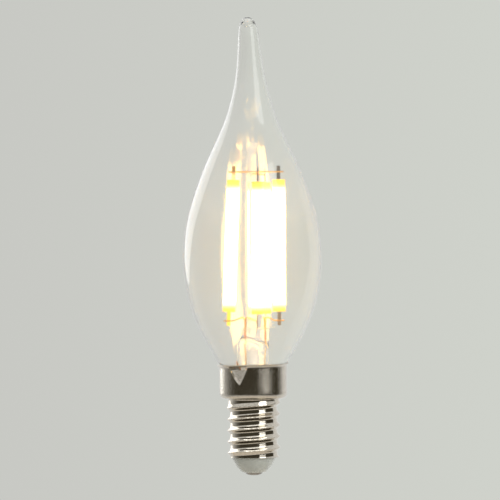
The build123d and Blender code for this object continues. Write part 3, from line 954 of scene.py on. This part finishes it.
# CAD pieces that keep their shape
finishes = {
    "inner_lead_left": "wireMetal", "inner_lead_right": "wireMetal",
    "outer_lead_left": "wireMetal", "outer_lead_right": "wireMetal",
    "dumet_seal_left": "dumetCopper", "dumet_seal_right": "dumetCopper",
    "cross_wire_left": "wireMetal", "cross_wire_right": "wireMetal",
    "side_bridge_wire": "wireMetal", "front_bridge_wire": "wireMetal",
    "driver_board": "boardLaminate", "bridge_rectifier": "blackMoulding", "driver_chip": "blackMoulding",
    "smoothing_capacitor": "canSleeve", "fuse_resistor": "resistorLacquer",
    "driver_sleeve": "insulatingFilm", "cap_cement": "basingCement",
    "live_wire": "wireMetal", "neutral_wire": "neutralCopper",
}
for side in ("left", "right", "front", "back"):
    finishes["filament_%s_coat" % side] = "sidePhosphor" if side in ("left", "right") else "innerPhosphor"
    finishes["filament_%s_substrate" % side] = "substrateCeramic"
    # the left filament's tabs get painted glow, the other foot tabs a lighter tone of painted light and the
    # other head tabs a darker tone of painted shade
    finishes["filament_%s_foot_tab" % side] = "litTab" if side == "left" else "footTabMetal"
    finishes["filament_%s_head_tab" % side] = "litHeadTab" if side == "left" else "tabMetal"
for name, finish in finishes.items():
    dress(nodes[name], materials[finish])
print("CAD pieces dressed")


# floor, light and camera, in metres
floor = {"z": -0.3, "radius": 0.42, "dark": (0.55, 0.50, 0.435), "light": (0.57, 0.52, 0.455), "scale": 200}


def makeFloor():
    bpy.ops.object.select_all(action="DESELECT")
    bpy.ops.mesh.primitive_circle_add(
        vertices=96, radius=floor["radius"], fill_type="NGON", location=(0, 0, floor["z"]),
    )
    obj = bpy.context.active_object
    obj.name = "floor"
    material, tree, shader = newMaterial("paleFloor")
    tint(tree, shader, addGrain(tree, floor["scale"]), floor["dark"], floor["light"])
    shader.inputs["Roughness"].default_value = 0.8
    dress(obj, material)


lamps = {
    "rightSoftbox": {
        "place": (0.573, -0.611, 0.405), "aim": (0, 0, 0.06),
        "width": 0.52, "height": 0.72, "power": 3.15, "shape": "RECTANGLE",
    },
    "leftOctabox": {
        "place": (-0.565, 0.65, 0.47), "aim": (0, 0, 0.07),
        "width": 0.76, "height": 1.2, "power": 3.35, "shape": "ELLIPSE",
    },
    "topFill": {
        "place": (0.0, 0.0, 1.0), "aim": (0, 0, 0.05),
        "width": 1.0, "height": 1.0, "power": 6.0, "shape": "RECTANGLE",
    },
}


def addLamp(name, look):
    bpy.ops.object.select_all(action="DESELECT")
    bpy.ops.object.light_add(type="AREA", location=look["place"])
    lamp = bpy.context.active_object
    lamp.name = name
    lamp.data.shape = look["shape"]
    lamp.data.size = look["width"]
    lamp.data.size_y = look["height"]
    lamp.data.energy = look["power"]
    aim = Vector(look["aim"]) - Vector(look["place"])
    lamp.rotation_euler = aim.to_track_quat("-Z", "Y").to_euler()
    lamp.visible_camera = False
    lamp.visible_transmission = False


# a range holds from, to, the value at from and the value at to
room = {
    "across": (-0.063, 0.063, 0.0, 1.0),
    "backLeft": (0.578, 0.584, 0.552), "backRight": (0.625, 0.644, 0.597),
    "leftRise": (-0.5, 0.6, 0.0, 1.0), "leftPower": 2.0, "leftDepth": (0.0, 1.0, 0.034, 0.8),
    "lowReach": (0.0, -1.0, 0.0, 0.45), "rightDepth": (0.32, 0.41, 0.034, 0.85),
    "sides": (-0.08, 0.08, 0.0, 1.0),
    "overhead": (0.18, 0.38, 0.0, 0.75), "underneath": (-0.2, -0.42, 0.0, 0.42),
    "darkTone": (0.023, 0.016, 0.0), "paleTone": (1, 1, 1),
}


def backdropColour(tree, split):
    across = spread(tree, split.outputs["X"], *room["across"])
    return mixColours(tree, across, room["backLeft"], room["backRight"])


def roomColour(tree, split):
    # the room is pale behind the bulb and overhead, half pale underneath and dark behind the camera
    leftRise = spread(tree, split.outputs["Y"], *room["leftRise"])
    leftCurve = combine(tree, "POWER", leftRise, room["leftPower"])
    leftDepth = spread(tree, leftCurve, *room["leftDepth"])
    # low down on the right the pale part reaches further round
    low = spread(tree, split.outputs["Z"], *room["lowReach"])
    reach = combine(tree, "ADD", split.outputs["Y"], low)
    rightDepth = spread(tree, reach, *room["rightDepth"])
    side = spread(tree, split.outputs["X"], *room["sides"])
    depth = mixValues(tree, side, leftDepth, rightDepth)
    lift = spread(tree, split.outputs["Z"], *room["overhead"])
    ground = spread(tree, split.outputs["Z"], *room["underneath"])
    ends = combine(tree, "MAXIMUM", lift, ground)
    higher = combine(tree, "MAXIMUM", depth, ends)
    # what is dark in the room is a warm brown
    return mixColours(tree, higher, room["darkTone"], room["paleTone"])


def makeWorld():
    world = bpy.data.worlds.new("studioRoom")
    bpy.context.scene.world = world
    world.use_nodes = True
    tree = world.node_tree
    where = addNode(tree, "ShaderNodeTexCoord")
    split = addNode(tree, "ShaderNodeSeparateXYZ")
    join(tree, where.outputs["Generated"], split.inputs["Vector"])
    seen = tree.nodes["Background"]
    join(tree, backdropColour(tree, split), seen.inputs["Color"])
    mirrored = addNode(tree, "ShaderNodeBackground")
    join(tree, roomColour(tree, split), mirrored.inputs["Color"])
    # the camera sees the backdrop, also through glass, and all else sees the room
    path = addNode(tree, "ShaderNodeLightPath")
    either = combine(tree, "MAXIMUM", path.outputs["Is Camera Ray"], path.outputs["Is Transmission Ray"])
    target = tree.nodes["World Output"].inputs["Surface"]
    mixShaders(tree, either, mirrored.outputs["Background"], seen.outputs["Background"], target)


# places in metres, lens and sensor in mm, turns in degrees
view = {
    "x": -0.55 * mm, "z": 57.0 * mm, "distance": 1.0, "lens": 284.4, "sensor": 36, "clip": 0.01,
    "pitch": 90, "roll": 0.45,
}


def makeCamera():
    centre = Vector((view["x"], 0, view["z"]))
    place = centre + Vector((0, -view["distance"], 0))
    bpy.ops.object.camera_add(location=place)
    camera = bpy.context.active_object
    camera.name = "photoCamera"
    camera.data.lens = view["lens"]
    camera.data.sensor_width = view["sensor"]
    camera.data.clip_start = view["clip"]
    camera.rotation_euler = (math.radians(view["pitch"]), math.radians(view["roll"]), 0)
    bpy.context.scene.camera = camera


makeFloor()
makeWorld()
for name, look in lamps.items():
    addLamp(name, look)
makeCamera()
bpy.context.scene.view_settings.view_transform = "Standard"
print("studio set")
